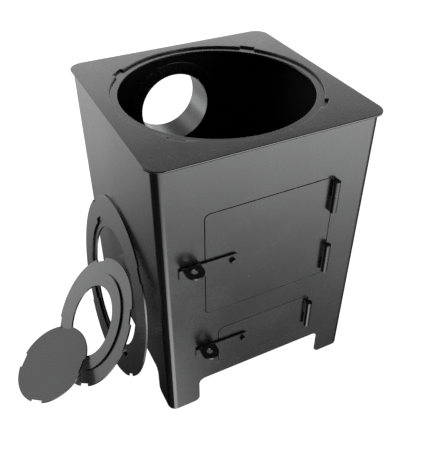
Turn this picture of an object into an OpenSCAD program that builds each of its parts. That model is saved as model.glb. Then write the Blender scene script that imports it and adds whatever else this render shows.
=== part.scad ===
// Free-standing sheet-steel stove for a round cauldron, with a flue stub at the back and three
// loose hob rings that lean on its left wall. Origin on the floor under the middle of the shell,
// front face towards -Y. All sizes in millimetres, angles in degrees.

/* [Shell] */
// Width and depth of the square shell over its faces
shell_w = 422; // [400:1:480]
// Height of the shell from the floor to the underside of the hob
shell_h = 592; // [565:1:680]
// Thickness of the shell's sheet steel
sheet_t = 3; // [2:0.5:4]
// Outside radius of the two bends at the front
bend_r = 16.5; // [8:0.5:24]

/* [Legs] */
// Height of the gap between the legs
leg_h = 66.5; // [40:0.5:80]
// Width of each leg seen from the front or the back
leg_front_w = 66.5; // [45:0.5:90]
// Width of each leg seen from the side
leg_side_w = 63.5; // [45:0.5:90]
// Radius in the upper corners of the gap between the legs
leg_arch_r = 13.5; // [5:0.5:20]
// Radius on the lower inner corner of each foot
foot_r = 12; // [5:0.5:20]

/* [Hob] */
// Thickness of the hob plate
hob_t = 4; // [3:0.5:6]
// How far the hob plate stands out over the shell
hob_overhang = 9; // [4:0.5:20]
// Corner radius of the hob plate
hob_corner_r = 28; // [10:0.5:32]
// Distance from the shell's outside face in to the edge of the hob's hole
hob_margin = 14.7; // [14:0.1:40]
// Thickness of the seat ring under the hob
seat_t = 4; // [3:0.5:6]
// How far the large ring laps its seat
seat_lap = 11; // [8:0.5:25]
// Gap between the seat ring and the shell's inside face
seat_edge_gap = 1; // [0.5:0.1:2]

/* [Hob rings] */
// Thickness of each layer of a hob ring
ring_t = 4; // [3:0.5:6]
// Radial play of each ring in the hole that holds it
ring_play = 3.3; // [1:0.1:5]
// Radial width of the large ring's plate
large_band = 50.7; // [40:0.1:60]
// Radial width of the medium ring's plate
medium_band = 47.7; // [40:0.1:60]
// How far a ledge reaches in under the next smaller ring
ledge_reach = 15.3; // [10:0.1:20]
// How far a ledge laps the plate that it is welded to
ledge_weld_w = 14.5; // [10:0.1:20]
// Width of the lifting notches
notch_w = 31; // [20:0.5:36]
// Depth of the notches in the holes
hole_notch_d = 8; // [3:0.1:9]
// Depth of the notches in the outer edges of the rings
edge_notch_d = 6.3; // [3:0.1:9]
// Lean of the large ring away from upright, in degrees
large_lean = 9; // [6:0.05:11]
// Lean of the medium ring away from upright, in degrees
medium_lean = 38; // [34:0.1:41]
// Lean of the centre disc away from upright, in degrees
disc_lean = 63; // [60:0.1:67]
// Distance of the large ring's middle behind the stove's middle
large_y = 4.1; // [0:0.1:10]
// Distance of the medium ring's middle behind the stove's middle
medium_y = 2.3; // [0:0.1:8]
// Distance of the disc's middle in front of the stove's middle
disc_forward = 13.1; // [5:0.1:18]
// How far the disc's upper edge reaches into the medium ring's hole
disc_poke = 5.2; // [1:0.1:5.3]

/* [Flue] */
// Outside radius of the flue stub
flue_r = 79.5; // [60:0.5:80]
// Wall of the flue stub
flue_wall = 1.5; // [1:0.1:3]
// Length of the stub beyond the back face
flue_l = 74; // [40:1:120]
// Distance from the underside of the hob down to the stub's axis
flue_drop = 132.5; // [125:0.5:180]
// Radial width of the flange inside the back wall
flange_w = 25.5; // [15:0.5:30]
// Thickness of the flange
flange_t = 3; // [2:0.5:5]

/* [Doors] */
// Width of the fire door
fire_w = 257.4; // [220:0.2:280]
// Distance from the hob's underside down to the top of the fire door
fire_head = 106; // [70:0.2:140]
// Distance of the fire door's middle to the right of the stove's middle
fire_x = 1.9; // [0:0.1:8]
// Height of the fire door's opening above the fire shelf
fire_sill = 21.8; // [14:0.2:30]
// Width of the ash door
ash_w = 204.9; // [180:0.1:230]
// Height of the ash door
ash_h = 96.4; // [90:0.2:110]
// Distance of the ash door's middle to the right of the stove's middle
ash_x = 2.75; // [0:0.05:8]
// Height of the ash door's opening above the floor plate
ash_sill = 23.2; // [14:0.2:30]
// Thickness of the door leaves
leaf_t = 3; // [2:0.5:5]
// Gap all round each door
door_gap = 1.6; // [1:0.1:2.5]
// Corner radius of the doors
leaf_r = 9.2; // [5:0.1:15]
// How far the frames reach into the openings behind the doors
jamb_lap = 8; // [5:0.5:10]
// How far the frames lap the shell round the openings
jamb_weld_w = 12; // [8:0.5:14]
// Thickness of the frames
jamb_t = 3; // [2:0.5:5]
// Gap between a closed door and its frame
jamb_gap = 0.3; // [0.2:0.1:1]

/* [Hinges] */
// Radius of the hinge barrels
barrel_r = 6.8; // [6:0.1:9]
// Length of each hinge
hinge_l = 67; // [50:0.5:76]
// Distance of the hinge axes inside the doors' edges
hinge_inset = 0.8; // [0:0.1:1]
// Gap between a barrel and the door behind it
barrel_gap = 0.4; // [0.3:0.1:1]
// Gap between the two knuckles of a hinge
knuckle_gap = 0.4; // [0.2:0.1:1]
// Radius of the hinge pins
pin_r = 4; // [3:0.25:4.5]
// Solid end of each knuckle
knuckle_cap = 5; // [3:0.5:8]
// Distance of the upper fire hinge's end below the top of the fire door
fire_hinge_drop = 5.25; // [0:0.05:20]
// Distance of the lower fire hinge's end above the bottom of the fire door
fire_hinge_rise = 11.6; // [0:0.1:20]
// Height of the ash hinge's middle above the bottom of the ash door
ash_hinge_rise = 51.3; // [38:0.1:56]

/* [Latches] */
// Distance of a latch bolt's axis from the free edge of its door
latch_inset = 52; // [46:0.1:60]
// Height of the lever
lever_h = 31; // [28:0.5:38]
// Length of the lever from the bolt's axis to its free end
lever_l = 103.5; // [90:0.5:115]
// Thickness of the lever, its tab and the tongue
lever_t = 3; // [3:0.5:5]
// Radius on the lower corner of the lever's free end
lever_corner_r = 10; // [4:0.5:14]
// Distance that the lever stands off the door
lever_stand = 1.5; // [1:0.5:4]
// Height of the latch bolts above the middle of their doors
latch_raise = 0; // [0:0.5:6]
// Tilt of the lever's free end above level, in degrees
lever_tilt = 1.2; // [0:0.1:3]
// Width of the folded tab
tab_w = 35; // [28:0.5:40]
// Distance of the tab's edge from the lever's free end
tab_inset = 4; // [0:0.5:8]
// Height of the tab's upper face above the lever's top edge
tab_rise = 3; // [0:0.5:4]
// How far the tab stands out from the lever's face
tab_out = 33; // [30:0.1:40]
// Radius of the hole in the tab
tab_hole_r = 6; // [4:0.5:8]
// Distance of the hole's middle from the tab's outer end
tab_hole_in = 18.5; // [16:0.5:22]
// Inside radius of the fold between lever and tab
fold_r = 1.5; // [1:0.1:3]
// Radius of the bolt's shank
bolt_r = 4; // [3:0.5:5]
// Radius of the bolt's head
bolt_head_r = 7; // [6:0.5:10]
// Height of the bolt's head
bolt_head_l = 6; // [4:0.5:10]
// Radius of the spacers on the bolt
spacer_r = 9; // [8:0.5:12]
// Width of the tongue behind the door
tongue_w = 12; // [11:0.5:16]
// How far the tongue catches behind the frame when it is turned home
tongue_catch = 5; // [4:0.5:10]
// Turn of the lever between free and locked, in degrees
lever_swing = 45; // [45:1:60]
// Height of the nut
nut_l = 6.5; // [4:0.1:8]
// Width of the nut across its corners
nut_w = 15; // [13:0.1:18]

/* [Fire shelf and grate] */
// Thickness of the fire shelf and of the floor plate
shelf_t = 3; // [2:0.5:5]
// Height of the floor plate's underside above the gap between the legs
floor_rise = 8.5; // [4:0.5:15]
// Height of the fire shelf's underside above the ash door's opening
shelf_rise = 28.2; // [26:0.2:36]
// Width of the opening in the fire shelf
shelf_hole_w = 270; // [220:1:290]
// Depth of the opening in the fire shelf from front to back
shelf_hole_d = 170; // [140:1:200]
// How far the grate laps the shelf all round
grate_lap = 15; // [8:0.5:20]
// Thickness of the cast grate
grate_t = 10; // [8:0.5:14]
// Width of the bars of the grate
bar_w = 9; // [6:0.5:12]
// Width of the slots between the bars
slot_w = 11; // [8:0.5:14]
// Width of the solid rim of the grate
grate_rim = 20; // [16:0.5:28]
// Corner radius of the grate
grate_r = 8; // [3:0.5:14]
// Width of the legs of the angle irons under the shelf
angle_w = 20; // [12:0.5:24]
// Thickness of the angle irons
angle_t = 3; // [2:0.5:4]
// Length of the angle irons
angle_l = 300; // [200:1:360]

/* [Hidden] */
$fn = 96;

// Colours as the photograph shows them
paint = "#4a4b4d";
paint_dark = "#2e2f31";
inside = "#1d1d1e";
fastener = "#5c5d60";
cast = "#333335";

// Overrun of cuts, and the small gaps of fits
over = 1;
weld_gap = 0.2;
rest_gap = 0.3;
pin_play = 0.06;
press_play = 0.02;
latch_play = 0.2;
tongue_gap = 0.4;
thread_end = 2;

// Shell
half = shell_w / 2;
inner = half - sheet_t;
hob_w = shell_w + 2 * hob_overhang;
hob_hole_r = half - hob_margin;
corner_clear_r = bend_r - sheet_t + weld_gap;

// Hob rings, each from the hole that holds it
large_r = hob_hole_r - ring_play;
large_hole_r = large_r - large_band;
medium_r = large_hole_r - ring_play;
medium_hole_r = medium_r - medium_band;
disc_r = medium_hole_r - ring_play;

// Heights, from the floor up
floor_z = leg_h + floor_rise;
ash_z = floor_z + shelf_t + ash_sill + door_gap;
shelf_z = ash_z + ash_h + door_gap + shelf_rise;
fire_z = shelf_z + shelf_t + fire_sill + door_gap;
fire_h = shell_h - fire_head - fire_z;
flue_z = shell_h - flue_drop;

// Planes of the front, from the outside in
leaf_back_y = -(inner + jamb_gap);
leaf_face_y = leaf_back_y - leaf_t;
jamb_back_y = -(inner - jamb_t);
barrel_y = leaf_face_y - barrel_gap - barrel_r;
lever_back_y = leaf_face_y - lever_stand;
lever_face_y = lever_back_y - lever_t;
tongue_y = jamb_back_y + tongue_gap;
nut_y = tongue_y + lever_t;
root_sink = barrel_r - pin_r - weld_gap - weld_gap;

// Hinge axes and latch bolts
fire_hinge_x = fire_x + fire_w / 2 - hinge_inset;
ash_hinge_x = ash_x + ash_w / 2 - hinge_inset;
fire_upper_hinge_z = fire_z + fire_h - fire_hinge_drop - hinge_l / 2;
fire_lower_hinge_z = fire_z + fire_hinge_rise + hinge_l / 2;
ash_hinge_z = ash_z + ash_hinge_rise;
fire_bolt_x = fire_x - fire_w / 2 + latch_inset;
fire_bolt_z = fire_z + fire_h / 2 + latch_raise;
ash_bolt_x = ash_x - ash_w / 2 + latch_inset;
ash_bolt_z = ash_z + ash_h / 2 + latch_raise;
tongue_l = latch_inset + door_gap - jamb_lap + tongue_catch;
knuckle_l = (hinge_l - knuckle_gap) / 2;
bore_l = knuckle_l - knuckle_cap;

// Grate
grate_w = shelf_hole_w + 2 * grate_lap;
grate_d = shelf_hole_d + 2 * grate_lap;
slot_pitch = bar_w + slot_w;
slot_count = floor((grate_w - 2 * grate_rim + bar_w) / slot_pitch);

// Outline with four round corners, centred
module round_rect(w, h, r) {
    square([w, h - 2 * r], center = true);
    square([w - 2 * r, h], center = true);
    for (x = [-1, 1], y = [-1, 1])
        translate([x * (w / 2 - r), y * (h / 2 - r)]) circle(r);
}

// Outline of the shell in plan, open at the back, with its two front corners round
module plan(side, r, back) {
    translate([-side, -side + r]) square([2 * side, side - r + back]);
    translate([-side + r, -side]) square([2 * (side - r), side]);
    for (x = [-1, 1]) translate([x * (side - r), -side + r]) circle(r);
}

// Stands an outline upright, its thickness running forwards from the plane y
module upright(y, t) {
    translate([0, y, 0]) rotate([90, 0, 0]) linear_extrude(t) children();
}

// Gap between two legs: round upper corners, and a round lower corner on each foot
module leg_gap(w) {
    translate([-w / 2, -over]) square([w, leg_h - leg_arch_r + over]);
    translate([-w / 2 + leg_arch_r, 0]) square([w - 2 * leg_arch_r, leg_h]);
    for (x = [-1, 1]) {
        translate([x * (w / 2 - leg_arch_r), leg_h - leg_arch_r]) circle(leg_arch_r);
        difference() {
            translate([x * w / 2, (foot_r - over) / 2]) square([2 * foot_r, foot_r + over], center = true);
            translate([x * (w / 2 + foot_r), foot_r]) circle(foot_r);
        }
    }
}

// Opening in the shell for a door
module door_opening(x, z, w, h, grow) {
    translate([x, z + h / 2]) round_rect(w + 2 * grow, h + 2 * grow, leaf_r + grow);
}

// Four lifting notches on the diagonals
module notches(from_r, to_r) {
    for (turn = [45:90:315])
        rotate(turn) translate([from_r, -notch_w / 2]) square([to_r - from_r, notch_w]);
}

// A hole with its lifting notches
module notched_hole(r) {
    circle(r);
    notches(r / 2, r + hole_notch_d);
}

module body_shell() {
    color(paint) difference() {
        linear_extrude(shell_h) difference() {
            plan(half, bend_r, inner);
            plan(inner, bend_r - sheet_t, inner + over);
        }
        upright(-inner + over, sheet_t + 2 * over) {
            leg_gap(shell_w - 2 * leg_front_w);
            door_opening(fire_x, fire_z, fire_w, fire_h, door_gap);
            door_opening(ash_x, ash_z, ash_w, ash_h, door_gap);
        }
        rotate([0, 0, 90]) upright(half + over, shell_w + 2 * over) leg_gap(shell_w - 2 * leg_side_w);
    }
}

module back_panel() {
    color(paint) difference() {
        upright(half, sheet_t) difference() {
            translate([-half, 0]) square([shell_w, shell_h]);
            leg_gap(shell_w - 2 * leg_front_w);
        }
        translate([0, inner - over, flue_z]) rotate([-90, 0, 0])
            cylinder(h = sheet_t + 2 * over, r = flue_r + weld_gap);
    }
}

module top_plate() {
    color(paint) translate([0, 0, shell_h]) linear_extrude(hob_t) difference() {
        round_rect(hob_w, hob_w, hob_corner_r);
        notched_hole(hob_hole_r);
    }
}

module seat_ring() {
    color(paint_dark) translate([0, 0, shell_h - seat_t]) difference() {
        cylinder(h = seat_t, r = inner - seat_edge_gap);
        translate([0, 0, -over]) cylinder(h = seat_t + 2 * over, r = large_r - seat_lap);
    }
}

module flue_pipe() {
    color(paint) translate([0, inner - flange_t, flue_z]) rotate([-90, 0, 0]) difference() {
        cylinder(h = flange_t + sheet_t + flue_l, r = flue_r);
        translate([0, 0, -over])
            cylinder(h = flange_t + sheet_t + flue_l + 2 * over, r = flue_r - flue_wall);
    }
}

module flue_flange() {
    color(inside) translate([0, inner - flange_t, flue_z]) rotate([-90, 0, 0]) difference() {
        cylinder(h = flange_t, r = flue_r + flange_w);
        translate([0, 0, -over]) cylinder(h = flange_t + 2 * over, r = flue_r + weld_gap);
    }
}

// A plate that fills the shell in plan
module inner_plan() {
    plan(inner - weld_gap, corner_clear_r, inner - weld_gap);
}

module floor_plate() {
    color(inside) translate([0, 0, floor_z]) linear_extrude(shelf_t) inner_plan();
}

module fire_shelf() {
    color(inside) translate([0, 0, shelf_z]) linear_extrude(shelf_t) difference() {
        inner_plan();
        round_rect(shelf_hole_w, shelf_hole_d, grate_r);
    }
}

// Angle iron on the right wall, its upper leg under the shelf
module shelf_bracket() {
    color(inside) translate([inner - weld_gap, 0, shelf_z]) rotate([90, 0, 0])
        linear_extrude(angle_l, center = true) {
            translate([-angle_w, -angle_t]) square([angle_w, angle_t]);
            translate([-angle_t, -angle_w]) square([angle_t, angle_w]);
        }
}

module shelf_bracket_left() {
    mirror([1, 0, 0]) shelf_bracket();
}

module shelf_bracket_right() {
    shelf_bracket();
}

// Flat frame on the shell's inside face, which the door closes against
module door_frame(x, z, w, h) {
    color(inside) upright(-inner + jamb_t, jamb_t) difference() {
        door_opening(x, z, w, h, door_gap + jamb_weld_w);
        door_opening(x, z, w, h, door_gap - jamb_lap);
    }
}

module fire_door_frame() {
    door_frame(fire_x, fire_z, fire_w, fire_h);
}

module ash_door_frame() {
    door_frame(ash_x, ash_z, ash_w, ash_h);
}

// Knuckle that stands on the hinge's middle plane: end 1 is the upper half, -1 the lower half;
// side 1 welds it to the shell on the right, -1 to the door on the left
module knuckle(x, z, end, side, face_y, bore_play) {
    root_y = barrel_y + barrel_r - root_sink;
    color(paint_dark) translate([x, 0, z]) mirror([0, 0, end < 0 ? 1 : 0])
        translate([0, 0, knuckle_gap / 2]) difference() {
            union() {
                translate([0, barrel_y, 0]) cylinder(h = knuckle_l, r = barrel_r);
                translate([side > 0 ? door_gap : -(barrel_r - door_gap / 2), root_y, 0])
                    cube([barrel_r - door_gap - door_gap / 2, face_y - root_y, knuckle_l]);
            }
            translate([0, barrel_y, -over]) cylinder(h = bore_l + over, r = pin_r + bore_play);
        }
}

// Pin seated at the blind end of the shell's knuckle: end 1 when that knuckle is the upper one
module hinge_pin(x, z, end) {
    color(fastener) translate([x, barrel_y, z]) mirror([0, 0, end < 0 ? 1 : 0])
        translate([0, 0, -(knuckle_gap / 2 + bore_l - rest_gap)])
            cylinder(h = 2 * bore_l + knuckle_gap - rest_gap, r = pin_r);
}

module fire_upper_body_knuckle() {
    knuckle(fire_hinge_x, fire_upper_hinge_z, 1, 1, -half, press_play);
}

module fire_lower_body_knuckle() {
    knuckle(fire_hinge_x, fire_lower_hinge_z, -1, 1, -half, press_play);
}

module ash_body_knuckle() {
    knuckle(ash_hinge_x, ash_hinge_z, -1, 1, -half, press_play);
}

module fire_upper_hinge_pin() {
    hinge_pin(fire_hinge_x, fire_upper_hinge_z, 1);
}

module fire_lower_hinge_pin() {
    hinge_pin(fire_hinge_x, fire_lower_hinge_z, -1);
}

module ash_hinge_pin() {
    hinge_pin(ash_hinge_x, ash_hinge_z, -1);
}

// Door leaf with the hole for its latch bolt
module door_leaf(x, z, w, h, bolt_x, bolt_z) {
    color(paint) difference() {
        upright(leaf_back_y, leaf_t) door_opening(x, z, w, h, 0);
        translate([bolt_x, leaf_back_y + over, bolt_z]) rotate([90, 0, 0])
            cylinder(h = leaf_t + 2 * over, r = bolt_r + pin_play);
    }
}

module fire_door() {
    door_leaf(fire_x, fire_z, fire_w, fire_h, fire_bolt_x, fire_bolt_z);
}

module fire_upper_door_knuckle() {
    knuckle(fire_hinge_x, fire_upper_hinge_z, -1, -1, leaf_face_y, pin_play);
}

module fire_lower_door_knuckle() {
    knuckle(fire_hinge_x, fire_lower_hinge_z, 1, -1, leaf_face_y, pin_play);
}

module ash_door() {
    door_leaf(ash_x, ash_z, ash_w, ash_h, ash_bolt_x, ash_bolt_z);
}

module ash_door_knuckle() {
    knuckle(ash_hinge_x, ash_hinge_z, 1, -1, leaf_face_y, pin_play);
}

// Hole for the bolt in a piece that turns with it, running forwards from the plane y
module bolt_hole(y, t) {
    translate([0, y + over, 0]) rotate([90, 0, 0]) cylinder(h = t + 2 * over, r = bolt_r + press_play);
}

// Lever with its bolt's axis at the origin of X and Z; the tab folds forwards off the top edge
module latch_lever() {
    tab_right = -lever_l + tab_inset + tab_w;
    fold_z = lever_h / 2 + tab_rise - lever_t - fold_r;
    color(paint_dark) rotate([0, lever_tilt, 0]) difference() {
        union() {
            upright(lever_back_y, lever_t) {
                circle(lever_h / 2);
                translate([tab_right, -lever_h / 2]) square([-tab_right, lever_h]);
                translate([-lever_l + lever_corner_r, -lever_h / 2])
                    square([lever_l - lever_corner_r + tab_right, lever_h / 2 + fold_z]);
                translate([-lever_l, -lever_h / 2 + lever_corner_r])
                    square([lever_corner_r, lever_h / 2 + fold_z - lever_corner_r]);
                translate([-lever_l + lever_corner_r, -lever_h / 2 + lever_corner_r])
                    circle(lever_corner_r);
            }
            translate([tab_right - tab_w, lever_face_y - fold_r, fold_z]) rotate([0, 90, 0])
                intersection() {
                    difference() {
                        cylinder(h = tab_w, r = fold_r + lever_t);
                        translate([0, 0, -over]) cylinder(h = tab_w + 2 * over, r = fold_r);
                    }
                    translate([-(fold_r + lever_t), 0, 0])
                        cube([fold_r + lever_t, fold_r + lever_t, tab_w]);
                }
            translate([tab_right - tab_w / 2, lever_face_y - fold_r, fold_z + fold_r])
                linear_extrude(lever_t) {
                    translate([-tab_w / 2, -(tab_out - fold_r - tab_w / 2)])
                        square([tab_w, tab_out - fold_r - tab_w / 2]);
                    translate([0, -(tab_out - fold_r - tab_w / 2)]) circle(tab_w / 2);
                }
        }
        bolt_hole(lever_back_y, lever_t);
        translate([tab_right - tab_w / 2, lever_face_y - tab_out + tab_hole_in, fold_z])
            cylinder(h = lever_h, r = tab_hole_r);
    }
}

// Bolt with a plain round head in front of the lever
module latch_bolt() {
    color(fastener) {
        translate([0, lever_face_y, 0]) rotate([90, 0, 0]) cylinder(h = bolt_head_l, r = bolt_head_r);
        translate([0, nut_y + nut_l + thread_end, 0]) rotate([90, 0, 0])
            cylinder(h = nut_y + nut_l + thread_end - lever_face_y, r = bolt_r);
    }
}

// Spacer on the bolt that fills the space between two planes
module spacer(back_y, front_y) {
    difference() {
        translate([0, back_y, 0]) rotate([90, 0, 0]) cylinder(h = back_y - front_y, r = spacer_r);
        bolt_hole(back_y, back_y - front_y);
    }
}

module latch_spacers() {
    color(fastener) {
        spacer(leaf_face_y - latch_play, lever_back_y);
        spacer(tongue_y, leaf_back_y + latch_play);
    }
}

// Tongue behind the door, turned up out of the frame's way while the lever lies level
module latch_tongue() {
    color(inside) rotate([0, lever_swing, 0]) difference() {
        upright(nut_y, lever_t) {
            circle(spacer_r);
            translate([-tongue_l + tongue_w / 2, -tongue_w / 2]) square([tongue_l - tongue_w / 2, tongue_w]);
            translate([-tongue_l + tongue_w / 2, 0]) circle(tongue_w / 2);
        }
        bolt_hole(nut_y, lever_t);
    }
}

module latch_nut() {
    color(fastener) difference() {
        translate([0, nut_y + nut_l, 0]) rotate([90, 0, 0]) cylinder(h = nut_l, r = nut_w / 2, $fn = 6);
        bolt_hole(nut_y + nut_l, nut_l);
    }
}

// Places a latch piece on the fire door's bolt or the ash door's bolt
module on_fire_bolt() {
    translate([fire_bolt_x, 0, fire_bolt_z]) children();
}

module on_ash_bolt() {
    translate([ash_bolt_x, 0, ash_bolt_z]) children();
}

module fire_latch_lever() {
    on_fire_bolt() latch_lever();
}

module fire_latch_bolt() {
    on_fire_bolt() latch_bolt();
}

module fire_latch_spacers() {
    on_fire_bolt() latch_spacers();
}

module fire_latch_tongue() {
    on_fire_bolt() latch_tongue();
}

module fire_latch_nut() {
    on_fire_bolt() latch_nut();
}

module ash_latch_lever() {
    on_ash_bolt() latch_lever();
}

module ash_latch_bolt() {
    on_ash_bolt() latch_bolt();
}

module ash_latch_spacers() {
    on_ash_bolt() latch_spacers();
}

module ash_latch_tongue() {
    on_ash_bolt() latch_tongue();
}

module ash_latch_nut() {
    on_ash_bolt() latch_nut();
}

// Loose cast grate over the shelf's opening, its slots running from front to back
module grate() {
    slot_l = grate_d - 2 * grate_rim - slot_w;
    color(cast) translate([0, 0, shelf_z + shelf_t + rest_gap]) linear_extrude(grate_t) difference() {
        round_rect(grate_w, grate_d, grate_r);
        for (k = [0:slot_count - 1]) translate([(k - (slot_count - 1) / 2) * slot_pitch, 0]) {
            square([slot_w, slot_l], center = true);
            for (y = [-1, 1]) translate([0, y * slot_l / 2]) circle(slot_w / 2);
        }
    }
}

// Leans a ring of radius r, drawn round Z with its outer face at z = 0 and its plate below it:
// lean is the angle from upright, and the ring's edge stands just off the floor
module leaned(lean, r, x, y) {
    translate([x, y, rest_gap + r * cos(lean) + ring_t * sin(lean)]) rotate([0, lean - 90, 0]) children();
}

// Place in X of a ring whose upper edge rests against the left wall
function wall_rest_x(lean, r) = -half - rest_gap - r * sin(lean) - ring_t * cos(lean);

// Place in X of the disc, whose upper edge reaches disc_poke into the medium ring's hole
disc_top_z = 2 * disc_r * cos(disc_lean) + rest_gap;
medium_mid_z = rest_gap + medium_r * cos(medium_lean) + ring_t * sin(medium_lean);
medium_face_x = wall_rest_x(medium_lean, medium_r) - ring_t / cos(medium_lean)
    + (disc_top_z - medium_mid_z) * tan(medium_lean);
disc_mid_x = medium_face_x + disc_poke - disc_r * sin(disc_lean) - ring_t * cos(disc_lean);

module on_large() {
    leaned(large_lean, large_r, wall_rest_x(large_lean, large_r), large_y) children();
}

module on_medium() {
    leaned(medium_lean, medium_r, wall_rest_x(medium_lean, medium_r), medium_y) children();
}

// Plate of a ring: a round plate with notches in its edge and a notched hole
module ring_plate(r, hole_r) {
    translate([0, 0, -ring_t]) linear_extrude(ring_t) difference() {
        circle(r);
        notches(r - edge_notch_d, r + over);
        notched_hole(hole_r);
    }
}

// Ledge welded to the underside of a ring's plate round its hole
module ring_ledge(hole_r, base_z) {
    translate([0, 0, base_z]) difference() {
        cylinder(h = ring_t, r = hole_r + ledge_weld_w);
        translate([0, 0, -over]) cylinder(h = ring_t + 2 * over, r = hole_r - ledge_reach);
    }
}

module ring_large_plate() {
    color(paint) on_large() ring_plate(large_r, large_hole_r);
}

module ring_large_ledge() {
    color(paint_dark) on_large() ring_ledge(large_hole_r, -2 * ring_t);
}

module ring_medium_plate() {
    color(paint) on_medium() ring_plate(medium_r, medium_hole_r);
}

module ring_medium_ledge() {
    color(paint_dark) on_medium() ring_ledge(medium_hole_r, 0);
}

module centre_disc() {
    color(paint) leaned(disc_lean, disc_r, disc_mid_x, -disc_forward)
        translate([0, 0, -ring_t]) linear_extrude(ring_t) difference() {
            circle(disc_r);
            notches(disc_r - edge_notch_d, disc_r + over);
        }
}

body_shell();
back_panel();
top_plate();
seat_ring();
flue_pipe();
flue_flange();
floor_plate();
fire_shelf();
shelf_bracket_left();
shelf_bracket_right();
fire_door_frame();
ash_door_frame();
fire_upper_body_knuckle();
fire_lower_body_knuckle();
ash_body_knuckle();
fire_upper_hinge_pin();
fire_lower_hinge_pin();
ash_hinge_pin();
fire_door();
fire_upper_door_knuckle();
fire_lower_door_knuckle();
ash_door();
ash_door_knuckle();
fire_latch_lever();
fire_latch_bolt();
fire_latch_spacers();
fire_latch_tongue();
fire_latch_nut();
ash_latch_lever();
ash_latch_bolt();
ash_latch_spacers();
ash_latch_tongue();
ash_latch_nut();
grate();
ring_large_plate();
ring_large_ledge();
ring_medium_plate();
ring_medium_ledge();
centre_disc();
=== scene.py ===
import math

import bpy
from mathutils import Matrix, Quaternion, Vector


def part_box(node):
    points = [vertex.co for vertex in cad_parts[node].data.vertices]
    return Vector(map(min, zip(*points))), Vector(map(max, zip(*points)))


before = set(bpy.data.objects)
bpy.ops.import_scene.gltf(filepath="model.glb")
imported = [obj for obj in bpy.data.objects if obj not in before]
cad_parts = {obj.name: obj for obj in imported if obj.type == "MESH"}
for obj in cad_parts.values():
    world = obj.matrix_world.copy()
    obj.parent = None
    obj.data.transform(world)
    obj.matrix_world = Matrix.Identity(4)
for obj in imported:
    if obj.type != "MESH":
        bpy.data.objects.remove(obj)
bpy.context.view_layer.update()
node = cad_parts


# Shell: one sheet bent round the front and both sides, and a flat sheet welded in as the back.
# 3 mm steel, laser cut, sprayed in satin black-grey heat-resistant paint; the inside is painted near
# black as painted shade.
class Value:
    """A number that varies over a surface; arithmetic on it adds the nodes that work it out."""

    def __init__(self, finish, socket):
        self.finish = finish
        self.socket = socket

    def combine(self, operation, *values):
        return self.finish.add("ShaderNodeMath", {"operation": operation}, *values)

    def __add__(self, other):
        return self.combine("ADD", self, other)

    def __radd__(self, other):
        return self.combine("ADD", other, self)

    def __sub__(self, other):
        return self.combine("SUBTRACT", self, other)

    def __rsub__(self, other):
        return self.combine("SUBTRACT", other, self)

    def __mul__(self, other):
        return self.combine("MULTIPLY", self, other)

    def __rmul__(self, other):
        return self.combine("MULTIPLY", other, self)

    def size(self):
        return self.combine("ABSOLUTE", self)

    def below(self, limit, blur):
        """1 below the limit, 0 above it, with a soft step as wide as blur."""
        return self.finish.add(
            "ShaderNodeMapRange", {"interpolation_type": "SMOOTHSTEP"},
            self, limit - blur / 2, limit + blur / 2, 1.0, 0.0)


class Finish:
    """A node tree with one method that adds any node and returns one of its outputs as a Value."""

    def __init__(self, tree):
        self.tree = tree

    def add(self, kind, settings, *values, output=0, **named):
        made = self.tree.nodes.new(kind)
        for name, setting in settings.items():
            if name == "stops":
                for stop, (place, shade) in zip(self.stops(made, len(setting)), setting):
                    stop.position = place
                    stop.color = (shade, shade, shade, 1.0)
            else:
                setattr(made, name, setting)
        sockets = [s for s in made.inputs if s.enabled]
        for socket, value in [*zip(sockets, values), *((made.inputs[n], v) for n, v in named.items())]:
            if isinstance(value, Value):
                self.tree.links.new(value.socket, socket)
            elif value is not None:
                socket.default_value = value
        return Value(self, made.outputs[output])

    @staticmethod
    def stops(ramp, count):
        elements = ramp.color_ramp.elements
        while len(elements) < count:
            elements.new(1.0)
        return elements

    def noise(self, place, scale, detail=3.0, roughness=0.5):
        return self.add("ShaderNodeTexNoise", {}, place, Scale=scale, Detail=detail, Roughness=roughness)

    def blend_colours(self, mask, first, second):
        """first where the mask is 0 and second where it is 1; each is a Value or a plain colour."""
        colour_result = 2
        made = self.add("ShaderNodeMix", {"data_type": "RGBA"}, Factor=mask, output=colour_result)
        colour_inputs = made.socket.node.inputs[6:8]
        for socket, colour in zip(colour_inputs, (first, second)):
            if isinstance(colour, Value):
                self.tree.links.new(colour.socket, socket)
            else:
                socket.default_value = (*colour, 1.0)
        return made


cloud_scale = 9.0
cloud_share = 0.7
cloud_gloss = 0.10
streak_scale = 140.0
streak_gloss = 0.08
darkest_share = 0.86
lightest_share = 1.12
flake_scale = 60.0
flake_dullness = 0.2
# Painted shade: the near black colour and extra dullness painted where the stove's inside lies in shade.
painted_shade_colour = (0.006, 0.006, 0.006)
painted_shade_dullness = 0.35


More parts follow.
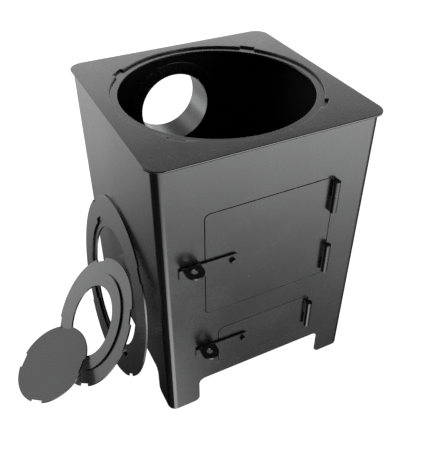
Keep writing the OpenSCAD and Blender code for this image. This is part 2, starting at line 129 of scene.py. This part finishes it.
def metal(name, colour, metallic, roughness, grain, painted_shade=None):
    """Steel under a thin satin coat: cloudy shade, uneven gloss and a fine sprayed grain.
    The last argument is a function of the place that gives 1 where the sheet is painted near black,
    duller and less metallic, as painted shade."""
    sheet = bpy.data.materials.new(name)
    sheet.use_nodes = True
    finish = Finish(sheet.node_tree)
    shader = sheet.node_tree.nodes["Principled BSDF"]
    place = finish.add("ShaderNodeTexCoord", {}, output="Object")
    clouds = finish.noise(place, cloud_scale, 4.0)
    streaks = finish.noise(place, streak_scale, 3.0)
    spray = finish.noise(place, grain["scale"], 2.0, 0.6)
    dark = tuple(c * darkest_share for c in colour)
    light = tuple(c * lightest_share for c in colour)
    tint = finish.blend_colours(clouds * cloud_share + streaks * (1.0 - cloud_share), dark, light)
    gloss = roughness + (clouds - 0.5) * cloud_gloss + (streaks - 0.5) * streak_gloss
    shine = metallic
    # Painted shade: where the mask is 1 the sheet is painted near black, duller and less metallic.
    if painted_shade:
        x, y = (finish.add("ShaderNodeSeparateXYZ", {}, place, output=axis) for axis in "XY")
        shaded_area = painted_shade(x, y)
        flakes = finish.noise(place, flake_scale, 5.0, 0.7)
        tint = finish.blend_colours(shaded_area, tint, painted_shade_colour)
        gloss = gloss + shaded_area * (painted_shade_dullness + flakes * flake_dullness)
        shine = (1.0 - shaded_area) * metallic
    links = sheet.node_tree.links
    links.new(tint.socket, shader.inputs["Base Color"])
    links.new(gloss.socket, shader.inputs["Roughness"])
    if isinstance(shine, Value):
        links.new(shine.socket, shader.inputs["Metallic"])
    else:
        shader.inputs["Metallic"].default_value = shine
    bump = finish.add(
        "ShaderNodeBump", {}, Strength=grain["strength"], Distance=grain["depth"], Height=spray)
    links.new(bump.socket, shader.inputs["Normal"])
    return sheet


sheet_edge = 0.0004
same_point = 0.00001
edge_steps = 3
sharp_angle = math.radians(35)
flat_face_weight = 70


def dress(name, sheet, edge=sheet_edge, small_part=False):
    """Gives a solid its finish, and breaks its sharp edges as deburring and paint do. A small
    part's edges are kept from running into each other."""
    part = node[name]
    part.data.materials.clear()
    part.data.materials.append(sheet)
    whole = part.modifiers.new("whole_skin", "WELD")
    whole.merge_threshold = same_point
    round_off = part.modifiers.new("broken_edges", "BEVEL")
    round_off.width = edge
    round_off.segments = edge_steps
    round_off.limit_method = "ANGLE"
    round_off.angle_limit = sharp_angle
    round_off.use_clamp_overlap = small_part
    smooth = part.modifiers.new("even_bends", "WEIGHTED_NORMAL")
    smooth.mode = "FACE_AREA"
    smooth.weight = flat_face_weight
    smooth.keep_sharp = False


paint_colour = (0.235, 0.236, 0.24)
paint_metallic = 0.9
paint_roughness = 0.26
paint_grain = {"scale": 700.0, "strength": 0.05, "depth": 0.00005}
wall_past_the_floor = 0.0012
shade_edge_blur = 0.0006
inner_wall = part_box("floor_plate")[1].x + wall_past_the_floor


# Painted shade: 1 inside the shell's walls, where the inside is painted near black.
def within_the_shell(x, y):
    return x.size().below(inner_wall, shade_edge_blur) * y.size().below(inner_wall, shade_edge_blur)


shell_paint = metal(
    "shell_paint", paint_colour, paint_metallic, paint_roughness, paint_grain, within_the_shell)
plain_paint = metal("plain_paint", paint_colour, paint_metallic, paint_roughness, paint_grain)
dress("body_shell", shell_paint)
dress("back_panel", shell_paint)

# Floor plate, fire shelf, its two angle irons and the door frames: welded in out of 3 mm steel,
# never seen from outside while the doors are shut, dull and painted near black as painted shade.
shaded_steel_colour = (0.012, 0.012, 0.012)
shaded_steel_metallic = 0.2
shaded_steel_roughness = 0.78
shaded_steel_grain = {"scale": 420.0, "strength": 0.5, "depth": 0.0006}
sooty_steel = metal("sooty_steel", shaded_steel_colour, shaded_steel_metallic, shaded_steel_roughness, shaded_steel_grain)
for name in ("floor_plate", "fire_shelf", "shelf_bracket_left", "shelf_bracket_right",
             "fire_door_frame", "ash_door_frame"):
    dress(name, sooty_steel)

# Grate: a loose casting that lies on the fire shelf over its opening. Cast iron, unpainted, rough
# from the sand mould and with well rounded edges.
cast_colour = (0.022, 0.021, 0.020)
cast_metallic = 0.4
cast_roughness = 0.68
cast_edge = 0.0012
cast_grain = {"scale": 260.0, "strength": 0.8, "depth": 0.0008}
cast_iron = metal("cast_iron", cast_colour, cast_metallic, cast_roughness, cast_grain)
dress("grate", cast_iron, cast_edge, small_part=True)

# Hob plate and the seat ring under it: 4 mm steel, laser cut and painted. The ring is welded on,
# and the plate is welded to the shell. The paint rounds the plate's edge off.
hob_edge = 0.0014
seat_edge = 0.0008
dress("top_plate", plain_paint, hob_edge)
dress("seat_ring", plain_paint, seat_edge)

# Flue stub and the flange round it: rolled 1.5 mm steel tube, welded through the back wall, and a
# laser-cut ring that covers the weld inside. Both are painted with the stove.
tube_edge = 0.0003
flange_edge = 0.0010
dress("flue_pipe", plain_paint, tube_edge)
dress("flue_flange", plain_paint, flange_edge)

# Doors: two flush leaves of the same 3 mm sheet as the front, laser cut with a narrow gap all
# round. They are painted, and their back face is painted near black as painted shade.
leaf_rim = 0.0003
leaf_blur = 0.0004
leaf_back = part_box("fire_door")[1].y - leaf_rim


# Painted shade: 1 on the leaf's back face, which is painted near black.
def behind_the_leaf(_, y):
    return (0.0 - y).below(0.0 - leaf_back, leaf_blur)


door_paint = metal(
    "door_paint", paint_colour, paint_metallic, paint_roughness, paint_grain, behind_the_leaf)
dress("fire_door", door_paint)
dress("ash_door", door_paint)

# Hinges: turned steel barrels in two halves on a bright pin. One half is welded to the shell and
# one to the door, on the right of the leaf, and both are painted over.
pin_colour = (0.45, 0.45, 0.45)
pin_metallic = 1.0
pin_roughness = 0.3
pin_grain = {"scale": 900.0, "strength": 0.1, "depth": 0.0002}
barrel_edge = 0.0006
pin_edge = 0.0003
pin_steel = metal("pin_steel", pin_colour, pin_metallic, pin_roughness, pin_grain)
for hinge in ("fire_upper", "fire_lower", "ash"):
    dress(f"{hinge}_body_knuckle", plain_paint, barrel_edge, small_part=True)
    dress(f"{hinge}_door_knuckle", plain_paint, barrel_edge, small_part=True)
    dress(f"{hinge}_hinge_pin", pin_steel, pin_edge, small_part=True)

# Latches: a laser-cut lever with a folded tab turns on a round-headed bolt; the tongue and nut
# sit behind the leaf. The lever, bolt and spacers are painted with the stove; the tongue and nut are
# painted near black as painted shade.
lever_edge = 0.0005
bolt_edge = 0.0012
washer_edge = 0.0003
nut_edge = 0.0006
for door in ("fire", "ash"):
    dress(f"{door}_latch_lever", plain_paint, lever_edge, small_part=True)
    dress(f"{door}_latch_bolt", plain_paint, bolt_edge, small_part=True)
    dress(f"{door}_latch_spacers", plain_paint, washer_edge, small_part=True)
    dress(f"{door}_latch_tongue", sooty_steel, small_part=True)
    dress(f"{door}_latch_nut", sooty_steel, nut_edge, small_part=True)

# Hob rings: two laser-cut 4 mm plates, each with a ledge ring welded under it, and a plain disc.
# They are painted like the hob, lie loose, and lean on the left wall.
for name in ("ring_large_plate", "ring_large_ledge", "ring_medium_plate", "ring_medium_ledge",
             "centre_disc"):
    dress(name, plain_paint)

# Floor: a plain pale sheet of paper under the whole stove. It glows a little, so that it stays
# white, and it is kept out of the stove's reflections.
floor_half = 9.0
floor_colour = (0.8, 0.8, 0.8, 1.0)
floor_glow = 1.05
floor_mesh = bpy.data.meshes.new("floor")
floor_mesh.from_pydata(
    [(x * floor_half, y * floor_half, 0.0) for x, y in ((-1, -1), (1, -1), (1, 1), (-1, 1))],
    [], [(0, 1, 2, 3)])
floor = bpy.data.objects.new("floor", floor_mesh)
bpy.context.scene.collection.objects.link(floor)
floor.visible_glossy = False
floor.visible_diffuse = False
floor_paint = bpy.data.materials.new("floor_paper")
floor_paint.use_nodes = True
floor_shader = floor_paint.node_tree.nodes["Principled BSDF"]
floor_shader.inputs["Base Color"].default_value = floor_colour
floor_shader.inputs["Roughness"].default_value = 1.0
floor_shader.inputs["Specular IOR Level"].default_value = 0.0
floor_shader.inputs["Emission Color"].default_value = (1.0, 1.0, 1.0, 1.0)
floor_shader.inputs["Emission Strength"].default_value = floor_glow
floor_mesh.materials.append(floor_paint)

# Studio light: bright walls that fall off to a dark ground and a dark ceiling, dark screens in six
# directions, a soft lamp low in front of the stove and a wide one level with it. It also shines from
# below, because the floor shows in no reflection.
room = bpy.data.worlds.new("studio")
bpy.context.scene.world = room
room.use_nodes = True
light = Finish(room.node_tree)
direction = light.add("ShaderNodeTexCoord", {}, output="Generated")
across, height = (
    light.add("ShaderNodeSeparateXYZ", {}, direction, output=axis) for axis in "XZ")


def fade(amount, stops):
    """A ramp over amount, which runs from -1 to 1, through stops of (amount, shade)."""
    return light.add(
        "ShaderNodeValToRGB", {"stops": [((place + 1.0) / 2.0, shade) for place, shade in stops]},
        amount * 0.5 + 0.5)


def towards(heading, elevation):
    """Unit vector for a heading in degrees from +X towards +Y and a height above the horizon."""
    level = math.cos(math.radians(elevation))
    return (level * math.cos(math.radians(heading)), level * math.sin(math.radians(heading)),
            math.sin(math.radians(elevation)))


def patch(heading, elevation, inner, outer):
    """1 within inner degrees of a direction, 0 beyond outer degrees, with a soft rim."""
    near = light.add("ShaderNodeVectorMath", {"operation": "DOT_PRODUCT"}, direction,
                     towards(heading, elevation), output="Value")
    return light.add("ShaderNodeMapRange", {"interpolation_type": "SMOOTHSTEP"}, near,
                     math.cos(math.radians(outer)), math.cos(math.radians(inner)), 0.0, 1.0)


ceiling_tilt = 0.17
low_walls = fade(height, [
    (-1.0, 0.040), (-0.86, 0.060), (-0.8, 0.091), (-0.74, 0.136), (-0.68, 0.235), (-0.62, 0.49),
    (-0.56, 0.81), (-0.5, 1.13), (-0.42, 1.28), (-0.3, 1.6), (1.0, 1.6)])
ceiling = fade(height + across * ceiling_tilt, [
    (-1.0, 0.68), (0.1, 0.68), (0.3, 1.0), (0.40, 1.45), (0.44, 1.26), (0.49, 0.58), (0.53, 0.19),
    (0.58, 0.11), (0.64, 0.08), (0.8, 0.03), (1.0, 0.02)])
horizon_blur = 0.08
underneath = height.below(0.0, horizon_blur)
glow = low_walls * underneath + ceiling * (1.0 - underneath)
# Each screen's heading, elevation, inner and outer radius in degrees, and its share of darkness.
dark_screens = {
    "left_side": (177, -39, 24, 66, 0.99),
    "high_front": (250, 35, 55, 74, 0.97),
    "right_side": (20, -38, 36, 50, 0.95),
    "back": (98, -30, 12, 24, 0.33),
    "low_back": (109, -60, 7, 9.5, 0.85),
    "high_back_left": (134, 31, 14, 28, 0.50),
}
for heading, elevation, inner, outer, darkness in dark_screens.values():
    glow = glow * (1.0 - patch(heading, elevation, inner, outer) * darkness)
low_lamp_strength = 1.45
level_lamp_strength = 1.7
low_lamp = patch(260, -57, 9, 21)
level_lamp = patch(293, 0, 9, 24)
glow = glow + low_lamp * low_lamp_strength + level_lamp * level_lamp_strength
backdrop = room.node_tree.nodes["Background"]
room.node_tree.links.new(glow.socket, backdrop.inputs["Strength"])
backdrop.inputs["Color"].default_value = (1.0, 1.0, 1.0, 1.0)

# Camera: it stands at the photograph's place, above the front left corner, and looks down at the
# stove. The focal length is in pixels of the picture, which is 450 px along its longer side.
camera_place = Vector((-0.44544, -0.89057, 1.06233))
camera_azimuth = math.radians(-26.184)
camera_elevation = math.radians(38.421)
camera_roll = math.radians(-0.159)
focal_px = 583.4
frame_px = 450
sensor_mm = 36.0
camera_data = bpy.data.cameras.new("camera")
camera_data.sensor_width = sensor_mm
camera_data.lens = focal_px / frame_px * sensor_mm
camera_data.clip_start = 0.01
camera = bpy.data.objects.new("camera", camera_data)
bpy.context.scene.collection.objects.link(camera)
camera.location = camera_place
looking = Vector((-math.sin(camera_azimuth) * math.cos(camera_elevation),
                  math.cos(camera_azimuth) * math.cos(camera_elevation),
                  -math.sin(camera_elevation)))
camera.rotation_mode = "QUATERNION"
camera.rotation_quaternion = (looking.to_track_quat("-Z", "Y")
                              @ Quaternion((0.0, 0.0, 1.0), camera_roll))
bpy.context.scene.camera = camera
bpy.context.scene.view_settings.view_transform = "Standard"
